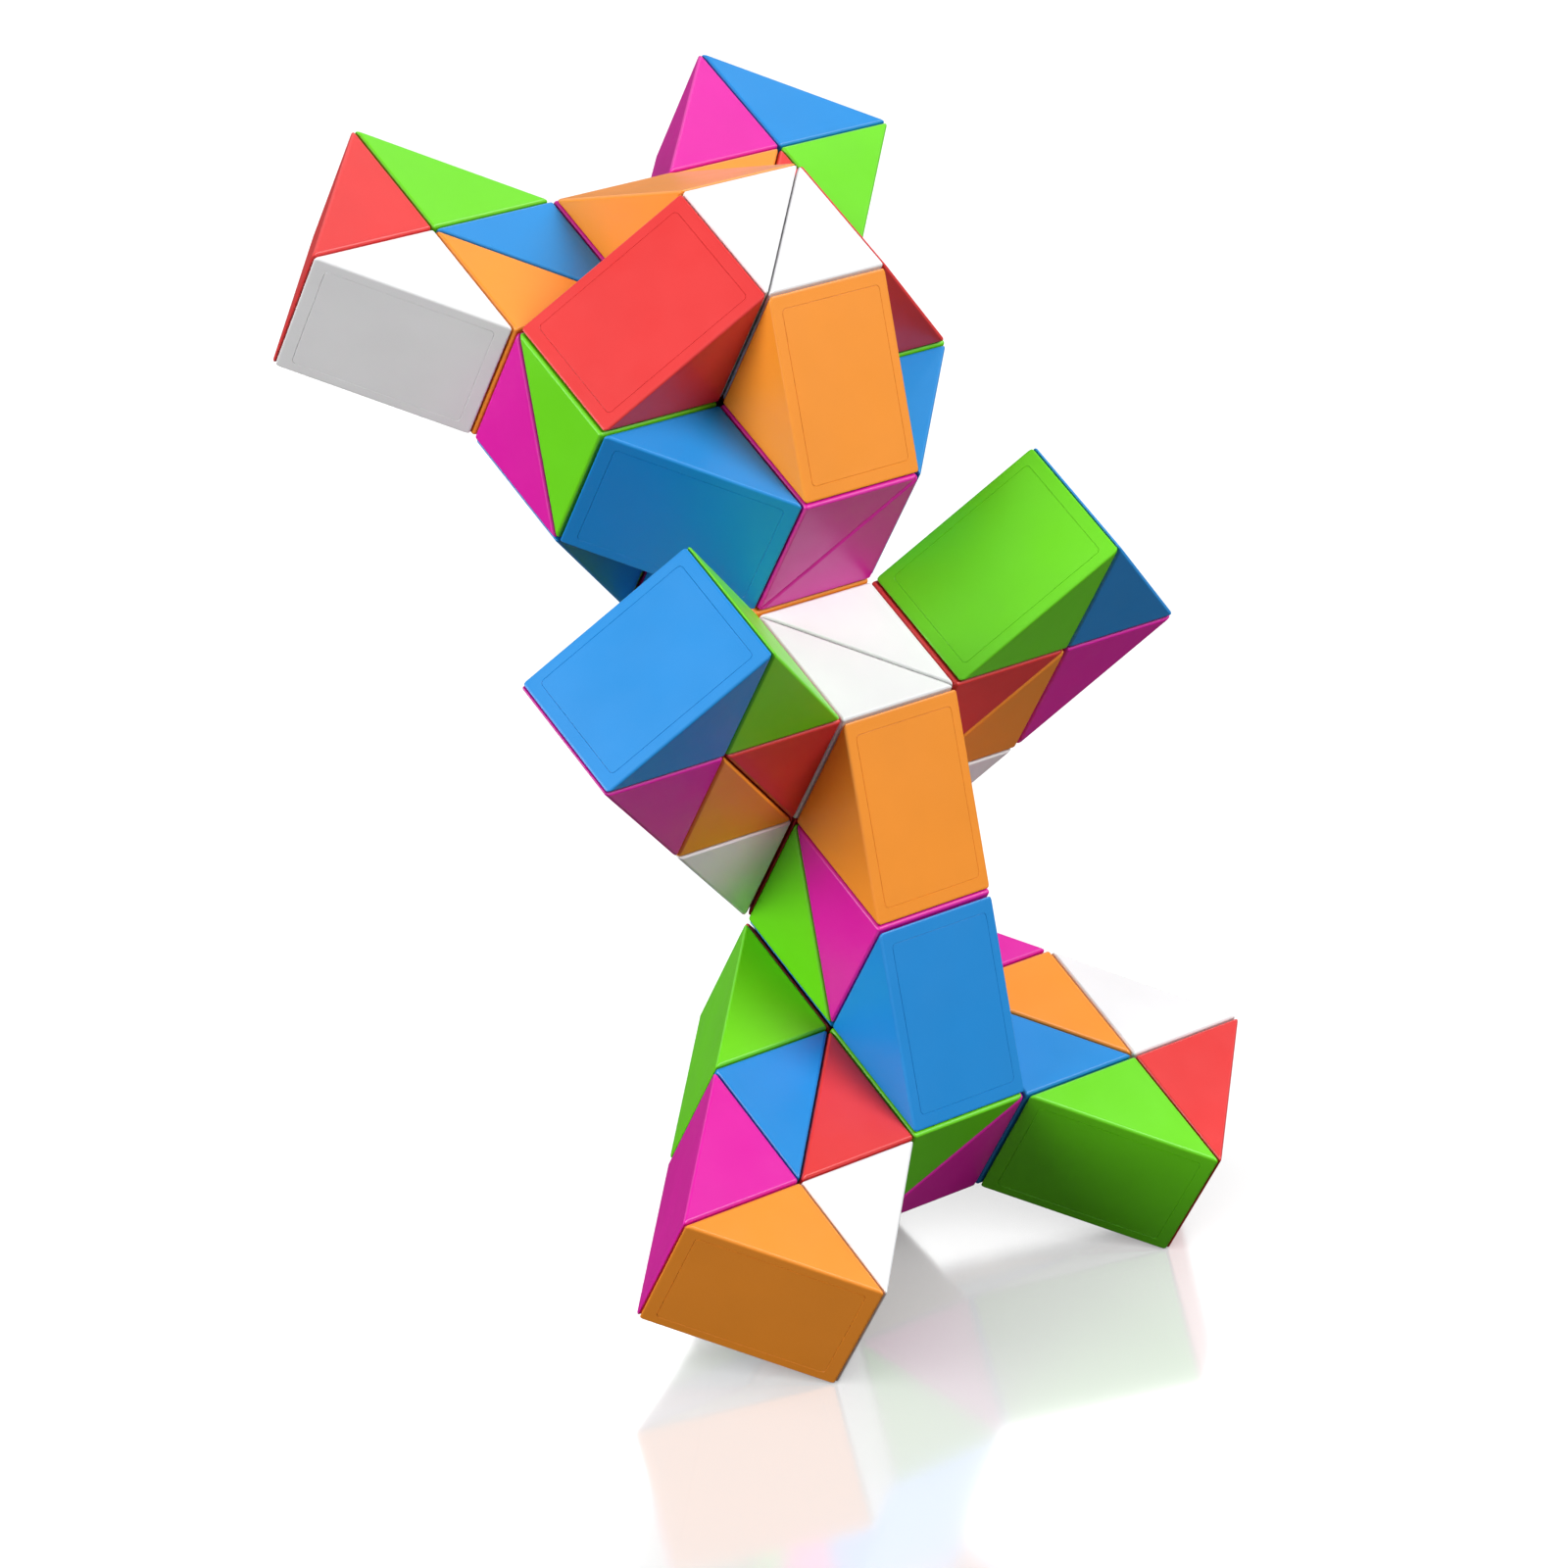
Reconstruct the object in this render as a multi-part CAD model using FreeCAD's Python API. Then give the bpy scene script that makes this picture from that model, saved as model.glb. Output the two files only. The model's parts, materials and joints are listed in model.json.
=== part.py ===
import FreeCAD, Part
import math
import os

# A twisty snake puzzle: a chain of 72 identical right-angled wedges, each a half cube cut along
# its diagonal.  Neighbours meet on their square faces and turn there on a spring bolt, with four
# clicks to a turn.  Here the chain is folded into a sitting bear whose two free ends meet at the
# left hip.
#
# Every wedge is a hollow plastic shell, closed by a snap-in lid on its long face.  Inside, a
# headed screw and a coil spring hold the next wedge's spigot in this wedge's socket.

# ---- driving dimensions (mm) ----
PITCH = 20.0                # side of the square joint face, and one step of the chain
GAP = 0.1                   # each face stands this far inside its cube's half
WALL = 1.6                  # moulded wall
EDGE_RADIUS = 0.45          # rounding of the square edges
TIP_RADIUS = 0.28           # rounding of the two 45 degree edges

LID_THICKNESS = 1.0
LEDGE_THICKNESS = 1.2       # shelf under the lid
LID_END_MARGIN = 2.2        # seam to the 45 degree edge
LID_SIDE_MARGIN = 1.6       # seam to the triangular side
LID_CORNER_RADIUS = 0.6
SEAM = 0.08                 # clearance all round the lid
LEDGE_END = 2.4             # shelf width at the ends
LEDGE_SIDE = 1.2            # shelf width along the sides
RIM_WALL = 0.8              # snap rim under the lid

SPIGOT_RADIUS = 3.0
RUNNING_FIT = 0.05          # radial clearance of the spigot in its socket
SOCKET_DEPTH = 0.8
BOLT_HOLE_RADIUS = 1.25     # through the floor of the socket
PILLAR_RADIUS = 2.2         # boss that the screw bites into
PILLAR_DEPTH = 4.4          # from the joint plane
BORE_DEPTH = 4.0
SHANK_RADIUS = 0.98
BORE_RADIUS = 1.0
SHANK_TIP = 3.6             # from the joint plane, into the next wedge
HEAD_RADIUS = 2.0
HEAD_TOP = 4.5              # from the joint plane, into this wedge
HEAD_THICKNESS = 0.9
CROSS_LENGTH = 2.6
CROSS_WIDTH = 0.45
CROSS_DEPTH = 0.45
SPRING_MEAN_RADIUS = 1.6
SPRING_WIRE_RADIUS = 0.2
SPRING_TURNS = 3

DETENT_CIRCLE = 6.5         # click bumps and dimples lie on this circle
BUMP_RADIUS = 0.8
BUMP_HEIGHT = 0.14
DIMPLE_RADIUS = 1.0
DIMPLE_DEPTH = 0.3

LEAN = math.atan(0.5)       # the figure sits back on its tail by this angle

COLOURS = ("blue", "magenta", "orange", "white", "red", "green")   # repeats along the chain

# The fold, from one free end to the other.  A letter is the way from a wedge's cube to the
# next one: R and L right and left, B and F back and front, U and D up and down.
FOLD = (
    ("left_leg", "LFRBRUB"),
    ("body", "UBL"),
    ("body", "ULDRDR"),             # left arm
    ("body", "B"),
    ("head", "UB"),                 # neck
    ("head", "RUB"),
    ("head", "RBLFL"),              # right ear
    ("head", "DFLUB"),
    ("head", "LBRFR"),              # left ear
    ("head", "UFLDFRUBRDFLD"),
    ("head", "F"),                  # neck
    ("body", "R"),
    ("body", "URDLDL"),             # right arm
    ("body", "FDRF"),
    ("right_leg", "RFLBLDB"),
    ("tail", "ULF"),
)
START_CUBE = (-1, -1, -1)           # cube of the first wedge, in pitches
STEP = {"R": (1, 0, 0), "L": (-1, 0, 0), "B": (0, 1, 0),
        "F": (0, -1, 0), "U": (0, 0, 1), "D": (0, 0, -1)}
# Groups whose lids and bolts share nodes, because they make one rigid body.
RIGID_BODY = {"left_leg": "left_leg", "right_leg": "right_leg", "tail": "tail",
              "body": "upper_body", "head": "upper_body"}

# ---- worked-out sizes ----
FACE = PITCH / 2 - GAP              # cube centre to a face
LONG_FACE = GAP                     # cube centre to the long face, along its normal
LONG_HALF = math.sqrt(2) * FACE - GAP    # half the length of the long face
LID_HALF_LENGTH = LONG_HALF - LID_END_MARGIN
LID_HALF_WIDTH = FACE - LID_SIDE_MARGIN
OPENING_HALF_LENGTH = LID_HALF_LENGTH - LEDGE_END
OPENING_HALF_WIDTH = LID_HALF_WIDTH - LEDGE_SIDE
X = FreeCAD.Vector(1, 0, 0)
Y = FreeCAD.Vector(0, 1, 0)
Z = FreeCAD.Vector(0, 0, 1)


# A wedge's own frame has its cube's centre as origin, X towards the previous wedge and Y
# towards the next.  The joint with the next wedge has the frame (0, PITCH / 2, 0), +Y.

def prism(face, long_face, half_depth):
    """The triangular prism between two square faces, a long face and two sides."""
    far = math.sqrt(2) * long_face - face
    corners = [FreeCAD.Vector(face, face, -half_depth), FreeCAD.Vector(far, face, -half_depth),
               FreeCAD.Vector(face, far, -half_depth)]
    outline = Part.makePolygon(corners + corners[:1])
    return Part.Face(outline).extrude(Z * (2 * half_depth))


def rounded_prism():
    """The wedge's outside, with the 45 degree edges left sharper than the others."""
    solid = prism(FACE, LONG_FACE, FACE)
    tips = [edge for edge in solid.Edges if abs(edge.CenterOfMass.x - edge.CenterOfMass.y) > FACE
            and edge.Length > FACE and abs(edge.tangentAt(0).z) > 0.9]
    solid = solid.makeFillet(TIP_RADIUS, tips)
    corner = [edge for edge in solid.Edges if abs(edge.CenterOfMass.x - edge.CenterOfMass.y) < 1e-6
              and abs(edge.tangentAt(0).z) > 0.9]
    solid = solid.makeFillet(EDGE_RADIUS, corner)
    outline = [edge for edge in solid.Edges if abs(abs(edge.CenterOfMass.z) - FACE) < 1e-6]
    return solid.makeFillet(EDGE_RADIUS, outline)


def slab(half_length, half_width, top, bottom, corner):
    """A plate parallel to the long face, from depth top to depth bottom under it."""
    plate = Part.makeBox(2 * half_length, 2 * half_width, bottom - top,
                         FreeCAD.Vector(-half_length, -half_width, top))
    if corner:
        upright = [edge for edge in plate.Edges if abs(edge.tangentAt(0).z) > 0.9]
        plate = plate.makeFillet(corner, upright)
    inward = FreeCAD.Vector(1, 1, 0).normalize()
    along = FreeCAD.Vector(1, -1, 0).normalize()
    across = inward.cross(along)
    turn = FreeCAD.Rotation(along, across, inward, "ZXY")
    plate.Placement = FreeCAD.Placement(inward * LONG_FACE, turn)
    return plate


def rod(radius, low, high, direction):
    """A cylinder on a joint axis, between two heights measured outwards from the cube's centre."""
    return Part.makeCylinder(radius, high - low, direction * low, direction)


def spots(radius, stand, direction, across, count):
    """Balls on the click circle whose centres lie stand outside the square face."""
    balls = []
    for index in range(count):
        turn = FreeCAD.Rotation(direction, 360.0 * index / count)
        centre = direction * (FACE + stand) + turn.multVec(across) * DETENT_CIRCLE
        balls.append(Part.makeSphere(radius, centre))
    return balls


def shell(has_previous, has_next):
    """One hollow wedge: spigot and boss towards the previous wedge, socket towards the next."""
    solid = rounded_prism()
    hollow = prism(FACE - WALL, LONG_FACE + LID_THICKNESS + LEDGE_THICKNESS, FACE - WALL)
    lid_seat = slab(LID_HALF_LENGTH, LID_HALF_WIDTH, -1.0, LID_THICKNESS, LID_CORNER_RADIUS)
    opening = slab(OPENING_HALF_LENGTH, OPENING_HALF_WIDTH, 0.0,
                   LID_THICKNESS + LEDGE_THICKNESS + 1.0, 0)
    solid = solid.cut([hollow, lid_seat, opening])
    joint = PITCH / 2
    if has_previous:
        spigot_tip = joint + GAP + SOCKET_DEPTH - RUNNING_FIT
        solid = solid.fuse([rod(PILLAR_RADIUS, joint - PILLAR_DEPTH, FACE, X),
                            rod(SPIGOT_RADIUS, FACE - WALL / 2, spigot_tip, X)]
                           + spots(BUMP_RADIUS, BUMP_HEIGHT - BUMP_RADIUS, X, Y, 2))
        solid = solid.cut(rod(BORE_RADIUS, joint - BORE_DEPTH, spigot_tip + 1.0, X))
    if has_next:
        socket = rod(SPIGOT_RADIUS + RUNNING_FIT, FACE - SOCKET_DEPTH, FACE + 1.0, Y)
        bolt_hole = rod(BOLT_HOLE_RADIUS, FACE - WALL - 1.0, FACE + 1.0, Y)
        solid = solid.cut([socket, bolt_hole]
                          + spots(DIMPLE_RADIUS, DIMPLE_RADIUS - DIMPLE_DEPTH, Y, X, 4))
    return solid.removeSplitter().Solids[0]


def lid():
    """The snap-in cover of the long face, with a rim that grips the opening."""
    plate = slab(LID_HALF_LENGTH - SEAM, LID_HALF_WIDTH - SEAM, 0.0, LID_THICKNESS,
                 LID_CORNER_RADIUS)
    rim_bottom = LID_THICKNESS + LEDGE_THICKNESS - SEAM
    outer = slab(OPENING_HALF_LENGTH - SEAM, OPENING_HALF_WIDTH - SEAM, LID_THICKNESS / 2,
                 rim_bottom, 0)
    inner = slab(OPENING_HALF_LENGTH - SEAM - RIM_WALL, OPENING_HALF_WIDTH - SEAM - RIM_WALL,
                 LID_THICKNESS, rim_bottom + 1.0, 0)
    return plate.fuse(outer).cut(inner).removeSplitter().Solids[0]


def screw():
    """Cross-headed screw, inside this wedge and biting into the next one's boss."""
    joint = PITCH / 2
    head_low = joint - HEAD_TOP
    solid = rod(HEAD_RADIUS, head_low, head_low + HEAD_THICKNESS, Y)
    rim = [edge for edge in solid.Edges
           if edge.Curve.TypeId == "Part::GeomCircle" and abs(edge.CenterOfMass.y - head_low) < 1e-6]
    solid = solid.makeFillet(HEAD_THICKNESS / 3, rim)
    solid = solid.fuse(rod(SHANK_RADIUS, head_low + HEAD_THICKNESS / 2, joint + SHANK_TIP, Y))
    for turn in (0, 90):
        bar = Part.makeBox(CROSS_LENGTH, CROSS_DEPTH, CROSS_WIDTH,
                           FreeCAD.Vector(-CROSS_LENGTH / 2, head_low, -CROSS_WIDTH / 2))
        bar.rotate(FreeCAD.Vector(0, 0, 0), Y, turn)
        solid = solid.cut(bar)
    return solid.removeSplitter().Solids[0]


def spring():
    """Coil spring between the socket's floor and the screw's head, as tilted half turns.

    Each half turn is a flat arc tilted about Y, so it climbs from one side to the other and
    meets the next one, tilted the other way, with no corner.
    """
    low = PITCH / 2 - HEAD_TOP + HEAD_THICKNESS + SPRING_WIRE_RADIUS + RUNNING_FIT
    high = FACE - WALL - SPRING_WIRE_RADIUS - RUNNING_FIT
    climb = (high - low) / (2 * SPRING_TURNS)
    tilt = math.degrees(math.asin(climb / (2 * SPRING_MEAN_RADIUS)))
    coil = None
    for index in range(2 * SPRING_TURNS):
        start = FreeCAD.Vector(SPRING_MEAN_RADIUS, 0, 0)
        wire_end = Part.Face(Part.Wire(Part.makeCircle(SPRING_WIRE_RADIUS, start, Y)))
        half_turn = wire_end.revolve(FreeCAD.Vector(0, 0, 0), Z, 180)
        half_turn.rotate(FreeCAD.Vector(0, 0, 0), Y, tilt)
        if index % 2:
            half_turn.rotate(FreeCAD.Vector(0, 0, 0), Z, 180)
        half_turn.translate(Z * climb * (index + 0.5))
        coil = half_turn if coil is None else coil.fuse(half_turn)
    solid = coil.removeSplitter().Solids[0]
    solid.Placement = FreeCAD.Placement(Y * low, FreeCAD.Rotation(Z, Y)) * solid.Placement
    return solid


# ---- the folded chain ----

class Wedge:
    """One link of the chain: its number, groups, colour and place."""

    def __init__(self, number, group, cube, to_previous, to_next):
        self.number = number
        self.group = group
        self.body = RIGID_BODY[group]
        self.colour = COLOURS[(number - 1) % len(COLOURS)]
        self.cube = cube
        self.to_previous = to_previous
        self.to_next = to_next

    def placement(self):
        centre = (self.cube + FreeCAD.Vector(0.5, 0.5, 0.5)) * PITCH
        side = self.to_previous.cross(self.to_next)
        turn = FreeCAD.Rotation(self.to_previous, self.to_next, side, "XYZ")
        lean = FreeCAD.Placement(FreeCAD.Vector(0, 0, 0), FreeCAD.Rotation(X, math.degrees(LEAN)))
        return lean * FreeCAD.Placement(centre, turn)


def chain():
    """All the wedges, walked along the fold.  The last step leads back to the first wedge."""
    letters = [(group, letter) for group, steps in FOLD for letter in steps]
    cube = FreeCAD.Vector(*START_CUBE)
    previous = FreeCAD.Vector(*STEP[letters[-1][1]]) * -1
    wedges = []
    for index, (group, letter) in enumerate(letters):
        step = FreeCAD.Vector(*STEP[letter])
        wedges.append(Wedge(index + 1, group, cube, previous, step))
        cube = cube + step
        previous = step * -1
    return wedges


def placed(shape, placement):
    moved = shape.copy()
    moved.Placement = placement * shape.Placement
    return moved


def build():
    """Every node's solids, by node name."""
    wedges = chain()
    last = len(wedges)
    inner_shell = shell(True, True)
    shells = {1: shell(False, True), last: shell(True, False)}
    lid_shape = lid()
    screw_shape = screw()
    spring_shape = spring()
    nodes = {}
    for wedge in wedges:
        place = wedge.placement()
        key = f"{wedge.group}_{wedge.colour}_shells"
        nodes.setdefault(key, []).append(placed(shells.get(wedge.number, inner_shell), place))
        key = f"{wedge.body}_{wedge.colour}_lids"
        nodes.setdefault(key, []).append(placed(lid_shape, place))
        if wedge.number < last:
            # A bolt sits inside this wedge, is screwed to the next one and turns with it.
            turns_with = wedges[wedge.number].body
            key = f"{turns_with}_joint_screws"
            nodes.setdefault(key, []).append(placed(screw_shape, place))
            key = f"{turns_with}_joint_springs"
            nodes.setdefault(key, []).append(placed(spring_shape, place))
    return nodes


def to_bottom_centre(nodes):
    """Moves everything so that the bounding box's bottom centre is the origin."""
    box = FreeCAD.BoundBox()
    for name, solids in nodes.items():
        if name.endswith("_shells"):
            for solid in solids:
                box.add(solid.optimalBoundingBox(False, False))
    shift = FreeCAD.Vector(-box.Center.x, -box.Center.y, -box.ZMin)
    for solids in nodes.values():
        for solid in solids:
            solid.translate(shift)
    return shift, box


def report_places(shift, box):
    """Prints the joint centres and axes, the crown face and the box, in the part's frame."""
    print("box", round(box.XLength, 3), round(box.YLength, 3), round(box.ZLength, 3))
    print("lattice origin", [round(value, 4) for value in shift])
    wedges = chain()
    lean = FreeCAD.Rotation(X, math.degrees(LEAN))
    for wedge in wedges[:-1]:
        if wedge.body != wedges[wedge.number].body:
            centre = (wedge.cube + FreeCAD.Vector(0.5, 0.5, 0.5) + wedge.to_next * 0.5) * PITCH
            place = lean.multVec(centre) + shift
            axis = lean.multVec(wedge.to_next)
            print("joint", wedge.number, wedge.number + 1, wedge.body, wedges[wedge.number].body,
                  [round(value, 4) for value in place], [round(value, 6) for value in axis])


def main():
    os.makedirs("parts", exist_ok=True)
    nodes = build()
    shift, box = to_bottom_centre(nodes)
    for name, solids in nodes.items():
        shape = solids[0] if len(solids) == 1 else Part.makeCompound(solids)
        shape.exportStep(f"parts/{name}.step")
    report_places(shift, box)
    print(len(nodes), "nodes,", sum(len(solids) for solids in nodes.values()), "solids")


main()
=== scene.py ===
import json
import math

import bmesh
import bpy
from mathutils import Matrix, Vector


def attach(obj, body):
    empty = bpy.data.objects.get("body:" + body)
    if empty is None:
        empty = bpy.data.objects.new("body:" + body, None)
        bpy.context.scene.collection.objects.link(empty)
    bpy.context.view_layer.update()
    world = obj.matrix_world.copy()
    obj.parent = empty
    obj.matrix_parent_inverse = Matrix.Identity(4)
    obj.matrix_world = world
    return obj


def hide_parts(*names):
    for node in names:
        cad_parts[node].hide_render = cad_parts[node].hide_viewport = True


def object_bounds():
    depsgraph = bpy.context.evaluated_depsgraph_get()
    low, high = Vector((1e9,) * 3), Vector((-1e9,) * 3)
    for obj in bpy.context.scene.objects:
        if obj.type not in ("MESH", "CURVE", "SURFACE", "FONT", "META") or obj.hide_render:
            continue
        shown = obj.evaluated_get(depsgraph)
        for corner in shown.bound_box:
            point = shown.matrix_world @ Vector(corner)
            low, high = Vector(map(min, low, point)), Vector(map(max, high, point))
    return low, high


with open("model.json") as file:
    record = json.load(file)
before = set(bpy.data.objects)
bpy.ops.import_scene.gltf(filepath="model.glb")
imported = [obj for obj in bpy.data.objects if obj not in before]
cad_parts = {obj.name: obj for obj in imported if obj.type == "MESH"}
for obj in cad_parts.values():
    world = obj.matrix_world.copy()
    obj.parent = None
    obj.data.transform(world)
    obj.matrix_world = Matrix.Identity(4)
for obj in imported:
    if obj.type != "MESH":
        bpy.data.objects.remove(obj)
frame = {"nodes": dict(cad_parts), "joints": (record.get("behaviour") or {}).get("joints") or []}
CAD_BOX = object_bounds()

# The folded snake puzzle around its CAD frame.  Each of the 72 wedges is two pieces, a hollow
# shell and its snap-in lid, modelled once in millimetres in the wedge's own frame (X towards the
# wedge before it, Y towards the wedge after it, origin at its cube's centre) and placed along the
# fold.  The screws and springs inside stay the CAD's own.

# ---- sizes, in millimetres ----
MM = 0.001
PITCH = 20.0
GAP = 0.1
WALL = 1.6
EDGE_RADIUS = 0.45
TIP_RADIUS = 0.28
LID_THICKNESS = 1.0
LEDGE_THICKNESS = 1.2
LID_END_MARGIN = 2.2
LID_SIDE_MARGIN = 1.6
LID_CORNER_RADIUS = 0.6
SEAM = 0.02
SEAM_CHAMFER = 0.04
LEDGE_END = 2.4
LEDGE_SIDE = 1.2
RIM_WALL = 0.8
SPIGOT_RADIUS = 3.0
RUNNING_FIT = 0.05
SOCKET_DEPTH = 0.8
SOCKET_CHAMFER = 0.1
BOLT_HOLE_RADIUS = 1.25
PILLAR_RADIUS = 2.2
PILLAR_DEPTH = 4.4
BORE_RADIUS = 1.0
BORE_DEPTH = 4.0
DETENT_CIRCLE = 6.5
BUMP_RADIUS = 0.8
BUMP_HEIGHT = 0.14
DIMPLE_RADIUS = 1.0
DIMPLE_DEPTH = 0.3
FACE = PITCH / 2 - GAP
LONG_HALF = math.sqrt(2) * FACE - GAP
LID_HALF_LENGTH = LONG_HALF - LID_END_MARGIN
LID_HALF_WIDTH = FACE - LID_SIDE_MARGIN
OPENING_HALF_LENGTH = LID_HALF_LENGTH - LEDGE_END
OPENING_HALF_WIDTH = LID_HALF_WIDTH - LEDGE_SIDE

# ---- the chain: the same fold and colours as the CAD part ----
COLOURS = ("blue", "magenta", "orange", "white", "red", "green")
FOLD = (
    ("left_leg", "LFRBRUB"),
    ("body", "UBL"),
    ("body", "ULDRDR"),
    ("body", "B"),
    ("head", "UB"),
    ("head", "RUB"),
    ("head", "RBLFL"),
    ("head", "DFLUB"),
    ("head", "LBRFR"),
    ("head", "UFLDFRUBRDFLD"),
    ("head", "F"),
    ("body", "R"),
    ("body", "URDLDL"),
    ("body", "FDRF"),
    ("right_leg", "RFLBLDB"),
    ("tail", "ULF"),
)
START_CUBE = (-1, -1, -1)
STEP = {"R": Vector((1, 0, 0)), "L": Vector((-1, 0, 0)), "B": Vector((0, 1, 0)),
        "F": Vector((0, -1, 0)), "U": Vector((0, 0, 1)), "D": Vector((0, 0, -1))}
RIGID_BODY = {"left_leg": "left_leg", "right_leg": "right_leg", "tail": "tail",
              "body": "upper_body", "head": "upper_body"}


# ---- the camera ----

CAMERA_AZIMUTH = -41.4      # degrees from the front, towards -X
CAMERA_ELEVATION = 24.6
CAMERA_ROLL = 2.3           # anticlockwise, as the camera sees it
CAMERA_DISTANCE = 5.551     # times the figure's height
CAMERA_LENS = 134.5
AIM_RIGHT = 0.0167          # aim point from the box's centre, times the figure's height
AIM_UP = -0.0820


def add_camera(low, high):
    height = high.z - low.z
    azimuth = math.radians(CAMERA_AZIMUTH)
    elevation = math.radians(CAMERA_ELEVATION)
    back = Vector((math.sin(azimuth) * math.cos(elevation),
                   -math.cos(azimuth) * math.cos(elevation), math.sin(elevation)))
    right = Vector((0, 0, 1)).cross(back).normalized()
    up = back.cross(right)
    roll = Matrix.Rotation(math.radians(CAMERA_ROLL), 3, back)
    right, up = roll @ right, roll @ up
    aim = (low + high) / 2 + right * AIM_RIGHT * height + up * AIM_UP * height
    data = bpy.data.cameras.new("camera")
    data.lens = CAMERA_LENS
    data.clip_start = 0.01
    camera = bpy.data.objects.new("camera", data)
    turn = Matrix((right, up, back)).transposed()
    camera.matrix_world = Matrix.Translation(aim + back * CAMERA_DISTANCE * height) @ turn.to_4x4()
    bpy.context.scene.collection.objects.link(camera)
    bpy.context.scene.camera = camera


# ---- mesh building blocks, in millimetres ----

LONG_INWARD = Vector((1, 1, 0)).normalized()
LONG_ALONG = Vector((1, -1, 0)).normalized()
# The long face's frame: Z runs into the wedge, and the origin is in the middle of the face.
LONG_FACE_FRAME = Matrix.Translation(LONG_INWARD * GAP) @ Matrix(
    (LONG_ALONG, LONG_INWARD.cross(LONG_ALONG), LONG_INWARD)).transposed().to_4x4()


def new_object(name, mesh):
    made = bpy.data.objects.new(name, mesh)
    bpy.context.scene.collection.objects.link(made)
    return made


def finished_mesh(obj):
    """The mesh with its modifiers applied; the object goes."""
    bpy.context.view_layer.update()
    evaluated = obj.evaluated_get(bpy.context.evaluated_depsgraph_get())
    mesh = bpy.data.meshes.new_from_object(evaluated)
    bpy.data.objects.remove(obj)
    return mesh


def loft(name, outlines, place):
    """A closed object through equal-length outlines, each a list of points, capped at both ends."""
    mesh = bmesh.new()
    rings = [[mesh.verts.new(place @ Vector(point)) for point in outline] for outline in outlines]
    count = len(rings[0])
    for lower, upper in zip(rings, rings[1:]):
        for index in range(count):
            after = (index + 1) % count
            mesh.faces.new((lower[index], lower[after], upper[after], upper[index]))
    mesh.faces.new(list(reversed(rings[0])))
    mesh.faces.new(rings[-1])
    bmesh.ops.recalc_face_normals(mesh, faces=mesh.faces)
    data = bpy.data.meshes.new(name)
    mesh.to_mesh(data)
    mesh.free()
    return new_object(name, data)


def rounded_rectangle(half_length, half_width, radius, height, steps=5):
    """Outline points with round corners.  A radius of 0 gives the four corners."""
    points = []
    for corner in range(4):
        sign_x = (1, -1, -1, 1)[corner]
        sign_y = (1, 1, -1, -1)[corner]
        centre = Vector((sign_x * (half_length - radius), sign_y * (half_width - radius), height))
        if not radius:
            points.append(centre)
            continue
        for step in range(steps + 1):
            angle = math.pi / 2 * (corner + step / steps)
            points.append(centre + Vector((math.cos(angle), math.sin(angle), 0)) * radius)
    return points


def plate(name, half_length, half_width, radius, levels):
    """A plate on the long face.  Levels are (depth, growth of the outline) from outside inwards."""
    outlines = []
    for depth, grow in levels:
        outlines.append(rounded_rectangle(half_length + grow, half_width + grow,
                                          radius and radius + grow, depth))
    return loft(name, outlines, LONG_FACE_FRAME)


def turned(name, profile, outward, steps=48):
    """A solid of revolution on a joint axis.  Profile points are (radius, height outwards)."""
    side = Vector((0, 0, 1))
    place = Matrix((side.cross(outward), side, outward)).transposed().to_4x4()
    outlines = []
    for radius, height in profile:
        outlines.append([(math.cos(2 * math.pi * step / steps) * radius,
                          math.sin(2 * math.pi * step / steps) * radius, height)
                         for step in range(steps)])
    return loft(name, outlines, place)


def balls(name, radius, stand, outward, across, count):
    """Balls on the click circle, their centres stand outside the square face."""
    mesh = bmesh.new()
    for index in range(count):
        turn = Matrix.Rotation(2 * math.pi * index / count, 3, outward)
        centre = outward * (FACE + stand) + turn @ across * DETENT_CIRCLE
        bmesh.ops.create_uvsphere(mesh, u_segments=24, v_segments=12, radius=radius,
                                  matrix=Matrix.Translation(centre))
    data = bpy.data.meshes.new(name)
    mesh.to_mesh(data)
    mesh.free()
    return new_object(name, data)


def prism(name, face, long_face, half_depth):
    """The triangular prism between two square faces, a long face and two sides."""
    far = math.sqrt(2) * long_face - face
    corners = ((face, face), (far, face), (face, far))
    outlines = [[(x, y, height) for x, y in corners] for height in (-half_depth, half_depth)]
    return loft(name, outlines, Matrix.Identity(4))


def combine(base, other, operation):
    """Adds other to base, or cuts it away, and removes other."""
    change = base.modifiers.new("combine", "BOOLEAN")
    change.operation = operation
    change.solver = "EXACT"
    change.object = other
    name = base.name
    mesh = finished_mesh(base)
    bpy.data.objects.remove(other)
    return new_object(name, mesh)


def rounded_prism(name):
    """The wedge's outside.  Edge weights make the 45 degree edges sharper than the others."""
    solid = prism(name, FACE, GAP, FACE)
    tip_setback = TIP_RADIUS / math.tan(math.radians(22.5))
    width = max(tip_setback, EDGE_RADIUS)
    weights = solid.data.attributes.new("bevel_weight_edge", "FLOAT", "EDGE")
    for edge in solid.data.edges:
        start, end = (solid.data.vertices[index].co for index in edge.vertices)
        middle = (start + end) / 2
        is_tip = abs(middle.z) < 1e-3 and abs(middle.x - middle.y) > FACE
        weights.data[edge.index].value = (tip_setback if is_tip else EDGE_RADIUS) / width
    rounding = solid.modifiers.new("rounding", "BEVEL")
    rounding.width = width
    rounding.segments = 5
    rounding.limit_method = "WEIGHT"
    rounding.use_clamp_overlap = False
    return new_object(name, finished_mesh(solid))


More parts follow.
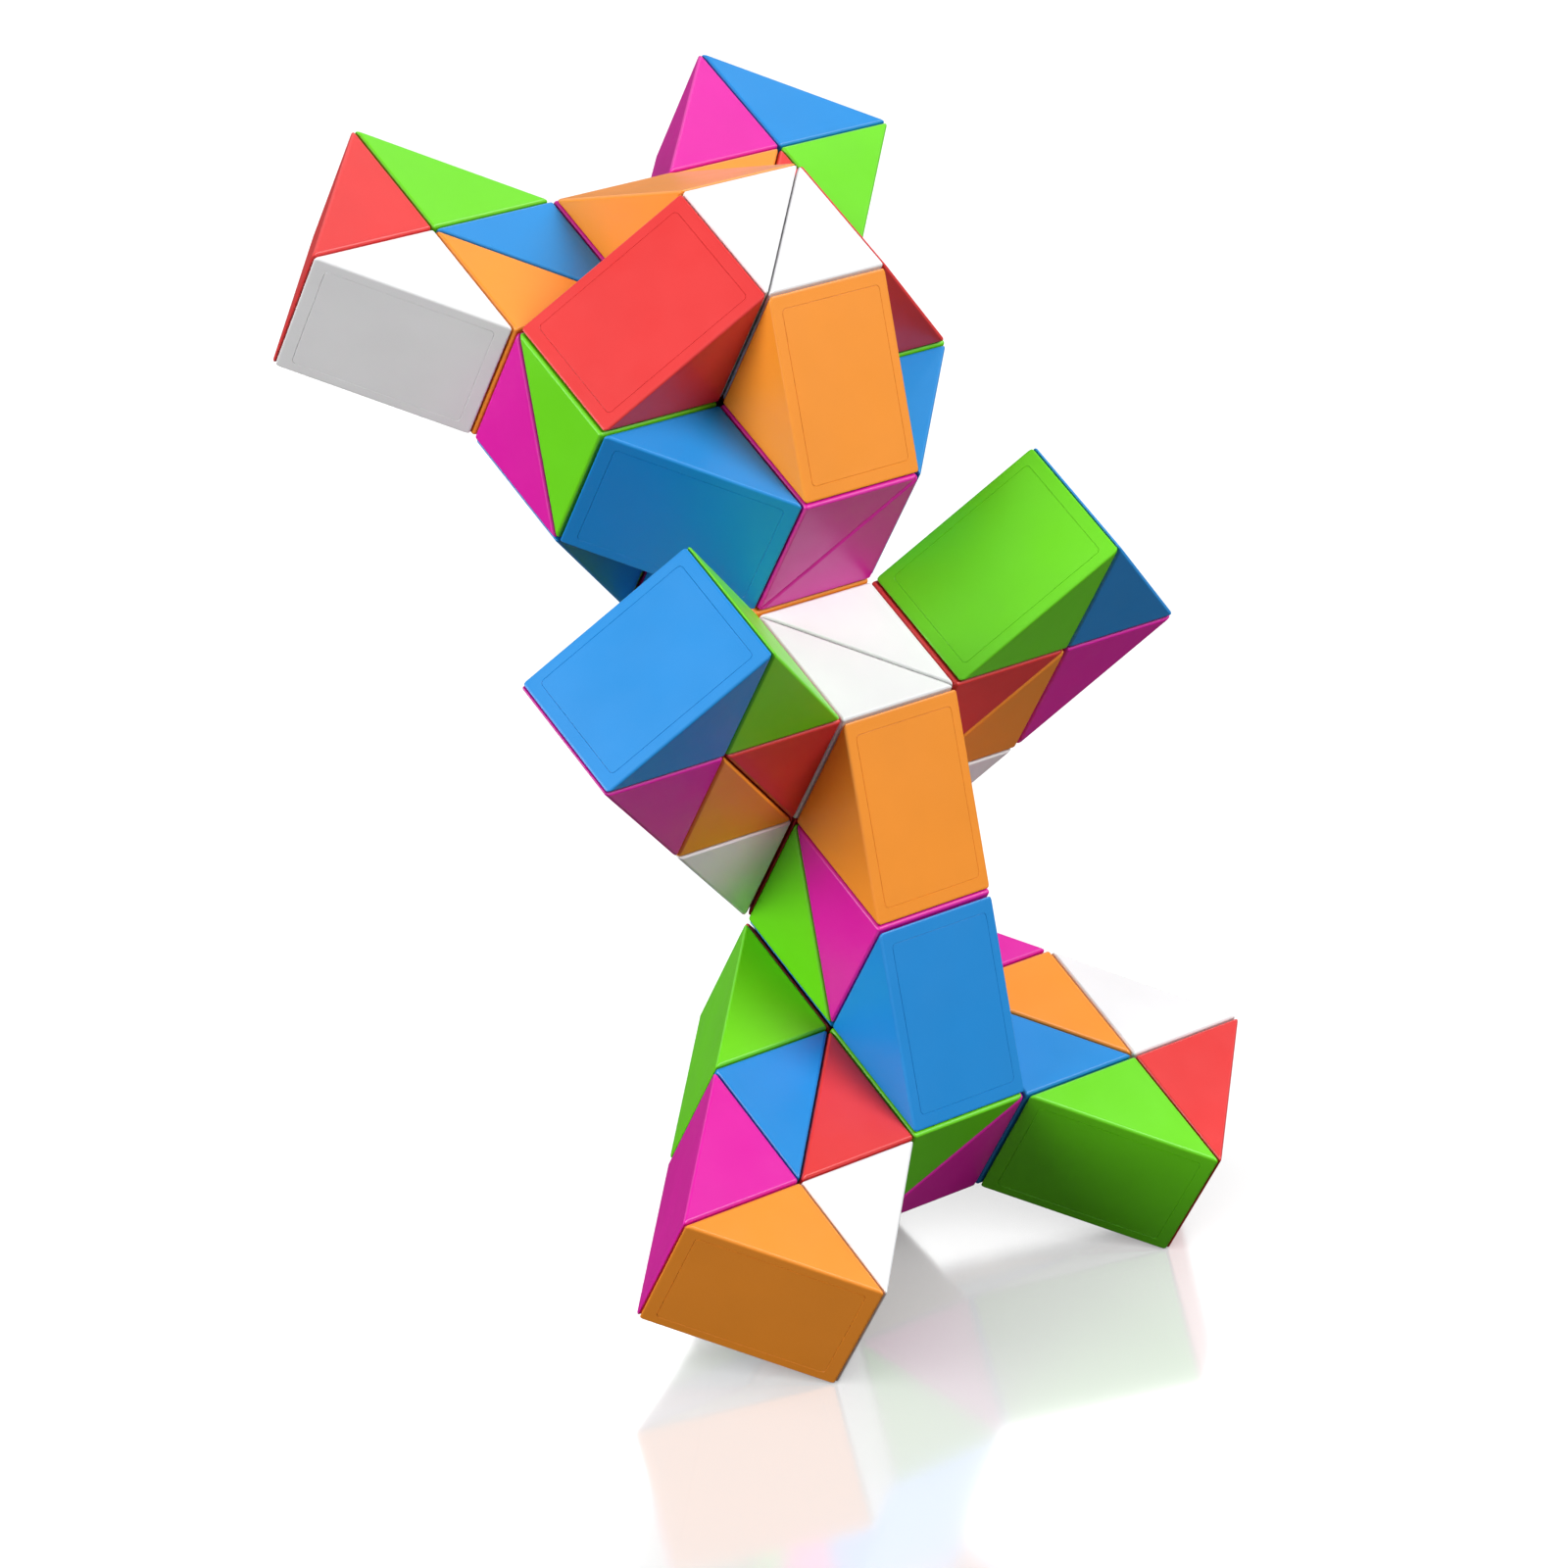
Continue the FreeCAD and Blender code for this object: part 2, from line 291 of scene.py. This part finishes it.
def smoothed(obj, sharp_degrees=32):
    """Smooth roundings beside truly flat faces, with crisp cut edges."""
    mesh = obj.data
    mesh.shade_smooth()
    mesh.set_sharp_from_angle(angle=math.radians(sharp_degrees))
    weighting = obj.modifiers.new("flat_faces", "WEIGHTED_NORMAL")
    weighting.weight = 100
    weighting.keep_sharp = True
    done = finished_mesh(obj)
    done.transform(Matrix.Scale(MM, 4))
    return done


# ---- the pieces' meshes ----

def shell_mesh(has_previous, has_next):
    """One hollow wedge: spigot and boss towards the previous wedge, socket towards the next."""
    towards_previous = Vector((1, 0, 0))
    towards_next = Vector((0, 1, 0))
    joint = PITCH / 2
    solid = rounded_prism("shell")
    cavity_depth = LID_THICKNESS + LEDGE_THICKNESS
    hollow = prism("hollow", FACE - WALL, GAP + cavity_depth, FACE - WALL)
    solid = combine(solid, hollow, "DIFFERENCE")
    seat = plate("seat", LID_HALF_LENGTH, LID_HALF_WIDTH, LID_CORNER_RADIUS,
                 ((-1.0, SEAM_CHAMFER), (0.0, SEAM_CHAMFER), (SEAM_CHAMFER, 0.0),
                  (LID_THICKNESS, 0.0)))
    solid = combine(solid, seat, "DIFFERENCE")
    opening = plate("opening", OPENING_HALF_LENGTH, OPENING_HALF_WIDTH, 0,
                    ((LID_THICKNESS / 2, 0.0), (cavity_depth + 0.5, 0.0)))
    solid = combine(solid, opening, "DIFFERENCE")
    if has_previous:
        tip = joint + GAP + SOCKET_DEPTH - RUNNING_FIT
        spigot = turned("spigot", ((SPIGOT_RADIUS, FACE - WALL / 2),
                                   (SPIGOT_RADIUS, tip - SOCKET_CHAMFER),
                                   (SPIGOT_RADIUS - SOCKET_CHAMFER, tip)), towards_previous)
        solid = combine(solid, spigot, "UNION")
        pillar = turned("pillar", ((PILLAR_RADIUS, joint - PILLAR_DEPTH),
                                   (PILLAR_RADIUS, FACE - WALL / 2)), towards_previous)
        solid = combine(solid, pillar, "UNION")
        bumps = balls("bumps", BUMP_RADIUS, BUMP_HEIGHT - BUMP_RADIUS, towards_previous,
                      towards_next, 2)
        solid = combine(solid, bumps, "UNION")
        bore = turned("bore", ((BORE_RADIUS, joint - BORE_DEPTH), (BORE_RADIUS, tip + 1.0)),
                      towards_previous)
        solid = combine(solid, bore, "DIFFERENCE")
    if has_next:
        floor = FACE - SOCKET_DEPTH
        socket = turned("socket", ((SPIGOT_RADIUS + RUNNING_FIT, floor),
                                   (SPIGOT_RADIUS + RUNNING_FIT, FACE - SOCKET_CHAMFER),
                                   (SPIGOT_RADIUS + RUNNING_FIT + SOCKET_CHAMFER, FACE),
                                   (SPIGOT_RADIUS + RUNNING_FIT + SOCKET_CHAMFER, FACE + 1.0)),
                        towards_next)
        solid = combine(solid, socket, "DIFFERENCE")
        bolt_hole = turned("bolt_hole", ((BOLT_HOLE_RADIUS, FACE - WALL - 1.0),
                                         (BOLT_HOLE_RADIUS, FACE)), towards_next)
        solid = combine(solid, bolt_hole, "DIFFERENCE")
        dimples = balls("dimples", DIMPLE_RADIUS, DIMPLE_RADIUS - DIMPLE_DEPTH, towards_next,
                        towards_previous, 4)
        solid = combine(solid, dimples, "DIFFERENCE")
    return smoothed(solid)


def lid_mesh():
    """The snap-in cover, with softened edges and a rim that grips the opening."""
    cover = plate("lid", LID_HALF_LENGTH - SEAM, LID_HALF_WIDTH - SEAM, LID_CORNER_RADIUS,
                  ((0.0, -SEAM_CHAMFER), (SEAM_CHAMFER / 3, -SEAM_CHAMFER / 3),
                   (SEAM_CHAMFER, 0.0), (LID_THICKNESS, 0.0)))
    rim_bottom = LID_THICKNESS + LEDGE_THICKNESS - SEAM
    outer = plate("rim", OPENING_HALF_LENGTH - SEAM, OPENING_HALF_WIDTH - SEAM, 0,
                  ((LID_THICKNESS / 2, 0.0), (rim_bottom, 0.0)))
    cover = combine(cover, outer, "UNION")
    inner = plate("rim_inside", OPENING_HALF_LENGTH - SEAM - RIM_WALL,
                  OPENING_HALF_WIDTH - SEAM - RIM_WALL, 0,
                  ((LID_THICKNESS, 0.0), (rim_bottom + 1.0, 0.0)))
    cover = combine(cover, inner, "DIFFERENCE")
    return smoothed(cover)


# ---- materials ----

PLASTIC = {
    "red": (0.74, 0.032, 0.032),
    "green": (0.146, 0.68, 0.003),
    "blue": (0.006, 0.250, 0.67),
    "magenta": (0.73, 0.005, 0.370),
    "orange": (0.93, 0.300, 0.022),
    "white": (0.87, 0.87, 0.88),
}


MOTTLE = (0.93, 1.05)       # the colour's darkest and palest, times the plastic's own
EDGE_FADE = 0.45            # depth of the rubbed band that is also a painted highlight, times the edge's radius
WEAR_AND_HIGHLIGHT_PALE = 0.32          # how far a rubbed edge and its painted highlight go towards white
# strength of the painted highlight and rubbed wear on the roundings
WEAR_AND_HIGHLIGHT_AMOUNT = 0.55
ROUGHNESS = 0.27
SMUDGE_ROUGHNESS = 0.20     # added at the heaviest smudge
RUBBED_POLISH = 0.08        # taken off on a rubbed edge
PLASTIC_IOR = 1.53


def node(tree, kind, **inputs):
    made = tree.nodes.new(kind)
    for key, value in inputs.items():
        if hasattr(made, key) and key not in made.inputs:
            setattr(made, key, value)
        else:
            made.inputs[key].default_value = value
    return made


def maths(tree, operation, first, second=None, clamp=False):
    """A Math node on sockets or numbers, and its output."""
    made = tree.nodes.new("ShaderNodeMath")
    made.operation = operation
    made.use_clamp = clamp
    for socket, value in zip(made.inputs, (first, second)):
        if isinstance(value, bpy.types.NodeSocket):
            tree.links.new(value, socket)
        elif value is not None:
            socket.default_value = value
    return made.outputs[0]


def noise(tree, position, scale, detail, seed):
    """Noise of a given scale per metre, offset so that no two uses match."""
    shift = tree.nodes.new("ShaderNodeVectorMath")
    shift.operation = "ADD"
    tree.links.new(position, shift.inputs[0])
    shift.inputs[1].default_value = (seed * 1.7, seed * 0.9, seed * 2.3)
    made = tree.nodes.new("ShaderNodeTexNoise")
    made.inputs["Scale"].default_value = scale
    made.inputs["Detail"].default_value = detail
    tree.links.new(shift.outputs[0], made.inputs["Vector"])
    return made.outputs["Fac"]


def moulded_plastic(name, colour):
    """Satin ABS: fine spark-eroded grain, faint flow mottling, handling smudges, rubbed edges
    painted paler as wear and as a painted highlight.
    """
    material = bpy.data.materials.new(name)
    material.use_nodes = True
    material.diffuse_color = (*colour, 1)
    tree = material.node_tree
    shader = tree.nodes["Principled BSDF"]
    place = tree.nodes.new("ShaderNodeTexCoord")
    where = place.outputs["Object"]

    # Mottling of the colour, and a painted highlight: the roundings are painted paler, as rubbed
    # wear and as their highlight.
    flow = noise(tree, where, 90.0, 3.0, 1)
    edge = tree.nodes.new("ShaderNodeAttribute")
    edge.attribute_name = "edge"
    breakup = noise(tree, where, 700.0, 4.0, 2)
    wear_and_highlight_mask = maths(tree, "MULTIPLY", edge.outputs["Fac"],
                   maths(tree, "ADD", 0.55, maths(tree, "MULTIPLY", breakup, 0.6)))
    tone = tree.nodes.new("ShaderNodeMix")
    tone.data_type = "RGBA"
    tone.inputs["A"].default_value = (*[c * MOTTLE[0] for c in colour], 1)
    tone.inputs["B"].default_value = (*[min(1.0, c * MOTTLE[1]) for c in colour], 1)
    tree.links.new(flow, tone.inputs["Factor"])
    # The paler colour on the roundings is a painted highlight as well as rubbed wear.
    wear_and_highlight_mix = tree.nodes.new("ShaderNodeMix")
    wear_and_highlight_mix.data_type = "RGBA"
    wear_and_highlight_mix.inputs["B"].default_value = (*[c + (1.0 - c) * WEAR_AND_HIGHLIGHT_PALE for c in colour], 1)
    tree.links.new(tone.outputs["Result"], wear_and_highlight_mix.inputs["A"])
    wear_and_highlight_pale = maths(tree, "MULTIPLY", wear_and_highlight_mask, WEAR_AND_HIGHLIGHT_AMOUNT, clamp=True)
    tree.links.new(wear_and_highlight_pale, wear_and_highlight_mix.inputs["Factor"])
    tree.links.new(wear_and_highlight_mix.outputs["Result"], shader.inputs["Base Color"])

    # Satin gloss, a little duller where fingers leave smudges and glossier on rubbed edges.
    smudge = noise(tree, where, 160.0, 5.0, 3)
    rough = maths(tree, "ADD", ROUGHNESS, maths(tree, "MULTIPLY", smudge, SMUDGE_ROUGHNESS))
    polish = maths(tree, "MULTIPLY", wear_and_highlight_mask, RUBBED_POLISH)
    rough = maths(tree, "SUBTRACT", rough, polish, clamp=True)
    tree.links.new(rough, shader.inputs["Roughness"])
    shader.inputs["IOR"].default_value = PLASTIC_IOR
    shader.inputs["Specular IOR Level"].default_value = 0.5

    # Grain of the mould, over the very slight waviness of a moulded wall.
    grain = noise(tree, where, 5200.0, 2.0, 4)
    waves = noise(tree, where, 130.0, 1.0, 5)
    wavy = node(tree, "ShaderNodeBump", Strength=0.10, Distance=0.0004)
    tree.links.new(waves, wavy.inputs["Height"])
    grainy = node(tree, "ShaderNodeBump", Strength=0.16, Distance=0.00004)
    tree.links.new(grain, grainy.inputs["Height"])
    tree.links.new(wavy.outputs["Normal"], grainy.inputs["Normal"])
    tree.links.new(grainy.outputs["Normal"], shader.inputs["Normal"])
    return material


def drawn_steel(name, colour, rough_low, rough_high, scale):
    """Bright steel with fine drawing or turning marks."""
    material = bpy.data.materials.new(name)
    material.use_nodes = True
    material.diffuse_color = (*colour, 1)
    tree = material.node_tree
    shader = tree.nodes["Principled BSDF"]
    shader.inputs["Metallic"].default_value = 1.0
    place = tree.nodes.new("ShaderNodeTexCoord")
    where = place.outputs["Object"]
    marks = noise(tree, where, scale, 6.0, 6)
    tone = tree.nodes.new("ShaderNodeMix")
    tone.data_type = "RGBA"
    tone.inputs["A"].default_value = (*[c * 0.8 for c in colour], 1)
    tone.inputs["B"].default_value = (*colour, 1)
    tree.links.new(marks, tone.inputs["Factor"])
    tree.links.new(tone.outputs["Result"], shader.inputs["Base Color"])
    rough = maths(tree, "ADD", rough_low, maths(tree, "MULTIPLY", marks, rough_high - rough_low))
    tree.links.new(rough, shader.inputs["Roughness"])
    bump = node(tree, "ShaderNodeBump", Strength=0.2, Distance=0.00003)
    tree.links.new(marks, bump.inputs["Height"])
    tree.links.new(bump.outputs["Normal"], shader.inputs["Normal"])
    return material


def mark_edges(mesh):
    """Stores how far each point is round an edge: 0 on the flats, 1 in the middle of a rounding."""
    attribute = mesh.attributes.new("edge", "FLOAT", "POINT")
    for vertex in mesh.vertices:
        x, y, z = vertex.co / MM
        depths = sorted((FACE - x, FACE - y, FACE - abs(z), (x + y) / math.sqrt(2) - GAP))
        fade = EDGE_FADE * EDGE_RADIUS
        attribute.data[vertex.index].value = max(0.0, 1.0 - depths[1] / fade)


# ---- the folded chain ----

def chain():
    """(number, group, colour, place) of every wedge, walked along the fold in the row frame."""
    hip = next(joint for joint in frame["joints"] if joint["name"] == "left_hip_turn")
    lean = Matrix.Rotation(math.atan2(hip["axis"][2], hip["axis"][1]), 3, "X")
    letters = [(group, letter) for group, steps in FOLD for letter in steps]
    centre = Vector(START_CUBE) + Vector((0.5, 0.5, 0.5))
    previous = -STEP[letters[-1][1]]
    links = []
    hip_point = None
    for index, (group, letter) in enumerate(letters):
        step = STEP[letter]
        links.append((index + 1, group, centre.copy(), previous, step))
        if hip_point is None and group != "left_leg":
            hip_point = centre + previous / 2
        centre = centre + step
        previous = -step
    origin = Vector(hip["pos_m"]) - lean @ hip_point * PITCH * MM
    wedges = []
    for number, group, centre, previous, step in links:
        turn = lean @ Matrix((previous, step, previous.cross(step))).transposed()
        place = Matrix.Translation(origin + lean @ centre * PITCH * MM) @ turn.to_4x4()
        wedges.append((number, group, COLOURS[(number - 1) % len(COLOURS)], place))
    return wedges


def build_wedges():
    """The 72 shells and 72 lids, each riding on its rigid body."""
    wedges = chain()
    middle = shell_mesh(True, True)
    shells = {1: shell_mesh(False, True), len(wedges): shell_mesh(True, False)}
    cover = lid_mesh()
    plastics = {colour: moulded_plastic(colour + "_plastic", rgb) for colour, rgb in PLASTIC.items()}
    for mesh in (middle, cover, *shells.values()):
        mark_edges(mesh)
    for number, group, colour, place in wedges:
        body = RIGID_BODY[group]
        parts = (("shell", shells.get(number, middle), f"{group}_{colour}_shells"),
                 ("lid", cover, f"{body}_{colour}_lids"))
        for kind, mesh, cad_node in parts:
            own = mesh.copy()
            own.transform(place)
            own.materials.append(plastics[colour])
            piece = new_object(f"wedge_{number:02d}_{colour}_{kind}", own)
            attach(piece, body)
            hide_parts(cad_node)


def dress_hardware():
    """Screws and springs keep their CAD shape and get their metals."""
    screws = drawn_steel("screw_steel", (0.62, 0.62, 0.63), 0.22, 0.42, 2500.0)
    springs = drawn_steel("spring_steel", (0.42, 0.42, 0.44), 0.18, 0.34, 4000.0)
    for name, obj in frame["nodes"].items():
        if name.endswith(("_screws", "_springs")):
            metal = screws if name.endswith("_screws") else springs
            obj.data.materials.clear()
            obj.data.materials.append(metal)


# ---- the studio ----

# name, azimuth and elevation in degrees, power in watts
LIGHTS = (
    ("left_key", -98, 17, 15.0),
    ("front_right", 30, 45, 16.5),
    ("back_right", 140, 45, 3.0),
)
LIGHT_DISTANCE = 1.3
LIGHT_SIZE = 0.8
LIGHT_AIM_HEIGHT = 0.07
DOME_HORIZON = 0.03
DOME_TOP = 0.42
BACKDROP = 1.0              # a white backdrop that only glossy reflections see
BACKDROP_LOW = 0.14         # full from here to BACKDROP_HIGH, as the sine of the elevation
BACKDROP_HIGH = 0.62
FLOOR_SIZE = 12.0
FLOOR_BOUNCE = 0.10
FLOOR_GLOW = 0.62
FLOOR_DIFFUSE = 0.12
FLOOR_GLOSS = 0.42
FLOOR_ROUGHNESS = 0.13
PAINTED_SHADOW_REACH = 0.045         # metres over which the floor carries the figure's painted shadow
PAINTED_SHADOW_SIDE = (-0.78, -0.56, 0.27)       # the side that the light the painted shadow stands for comes from
# how dark the painted shadow gets
PAINTED_SHADOW_DEPTH = 1.35


def ray_is(tree, kind):
    """1 for rays of one kind, such as "Is Glossy Ray", and 0 for the others."""
    return tree.nodes.new("ShaderNodeLightPath").outputs[kind]


def painted_shadow_factor(tree):
    """A painted shadow: 1 in the open, less where the figure close by stands in the way of light
    from one side.
    """
    shade = node(tree, "ShaderNodeAmbientOcclusion", samples=16, Distance=PAINTED_SHADOW_REACH)
    side = tree.nodes.new("ShaderNodeCombineXYZ")
    for axis, value in zip(side.inputs, PAINTED_SHADOW_SIDE):
        axis.default_value = value
    tree.links.new(side.outputs[0], shade.inputs["Normal"])
    painted_shadow_amount = maths(tree, "SUBTRACT", 1.0, shade.outputs["AO"])
    return maths(tree, "SUBTRACT", 1.0, maths(tree, "MULTIPLY", painted_shadow_amount, PAINTED_SHADOW_DEPTH), clamp=True)


def add_floor():
    """A white glossy floor with a painted shadow close under the figure, which throws little light
    back up.
    """
    material = bpy.data.materials.new("floor_gloss")
    material.use_nodes = True
    tree = material.node_tree
    tree.nodes.remove(tree.nodes["Principled BSDF"])
    glow = tree.nodes.new("ShaderNodeEmission")
    # The floor's glow carries the figure's painted shadow.
    tree.links.new(maths(tree, "MULTIPLY", painted_shadow_factor(tree), FLOOR_GLOW), glow.inputs["Strength"])
    diffuse = node(tree, "ShaderNodeBsdfDiffuse", Color=(*[FLOOR_DIFFUSE] * 3, 1))
    gloss = node(tree, "ShaderNodeBsdfAnisotropic", Color=(*[FLOOR_GLOSS] * 3, 1),
                 Roughness=FLOOR_ROUGHNESS)
    bounce = node(tree, "ShaderNodeBsdfDiffuse", Color=(*[FLOOR_BOUNCE] * 3, 1))
    matt = tree.nodes.new("ShaderNodeAddShader")
    tree.links.new(glow.outputs[0], matt.inputs[0])
    tree.links.new(diffuse.outputs[0], matt.inputs[1])
    shiny = tree.nodes.new("ShaderNodeAddShader")
    tree.links.new(matt.outputs[0], shiny.inputs[0])
    tree.links.new(gloss.outputs[0], shiny.inputs[1])
    choice = tree.nodes.new("ShaderNodeMixShader")
    tree.links.new(ray_is(tree, "Is Camera Ray"), choice.inputs[0])
    tree.links.new(bounce.outputs[0], choice.inputs[1])
    tree.links.new(shiny.outputs[0], choice.inputs[2])
    tree.links.new(choice.outputs[0], tree.nodes["Material Output"].inputs["Surface"])
    bpy.ops.mesh.primitive_plane_add(size=FLOOR_SIZE, location=(0, 0, 0))
    floor = bpy.context.object
    floor.name = "floor"
    floor.data.materials.append(material)


def add_dome():
    """White to the camera and in gloss; for lighting, a dome that brightens towards the top."""
    world = bpy.data.worlds.new("studio")
    bpy.context.scene.world = world
    world.use_nodes = True
    tree = world.node_tree
    sky = tree.nodes["Background"]
    place = tree.nodes.new("ShaderNodeTexCoord")
    split = tree.nodes.new("ShaderNodeSeparateXYZ")
    tree.links.new(place.outputs["Generated"], split.inputs[0])
    height = maths(tree, "MAXIMUM", split.outputs["Z"], 0.0)
    glow = maths(tree, "ADD", DOME_HORIZON, maths(tree, "MULTIPLY", height, DOME_TOP - DOME_HORIZON))
    rise = maths(tree, "DIVIDE", height, BACKDROP_LOW, clamp=True)
    band = maths(tree, "MULTIPLY", rise, maths(tree, "LESS_THAN", height, BACKDROP_HIGH))
    backdrop = maths(tree, "MULTIPLY", maths(tree, "MULTIPLY", band, BACKDROP),
                     ray_is(tree, "Is Glossy Ray"))
    white = maths(tree, "MAXIMUM", backdrop, ray_is(tree, "Is Camera Ray"))
    tree.links.new(maths(tree, "MAXIMUM", glow, white), sky.inputs["Strength"])
    sky.inputs["Color"].default_value = (1, 1, 1, 1)


def add_light(name, azimuth, elevation, power):
    """A soft round light aimed at the middle of the figure."""
    angle = math.radians(azimuth)
    height = math.radians(elevation)
    back = Vector((math.sin(angle) * math.cos(height), -math.cos(angle) * math.cos(height),
                   math.sin(height)))
    data = bpy.data.lights.new(name, "AREA")
    data.shape = "DISK"
    data.size = LIGHT_SIZE
    data.energy = power
    lamp = bpy.data.objects.new(name, data)
    lamp.location = Vector((0, 0, LIGHT_AIM_HEIGHT)) + back * LIGHT_DISTANCE
    lamp.rotation_euler = back.to_track_quat("Z", "Y").to_euler()
    bpy.context.scene.collection.objects.link(lamp)


def add_studio():
    add_floor()
    add_dome()
    for light in LIGHTS:
        add_light(*light)
    bpy.context.scene.view_settings.view_transform = "Standard"


add_camera(*CAD_BOX)
build_wedges()
dress_hardware()
add_studio()
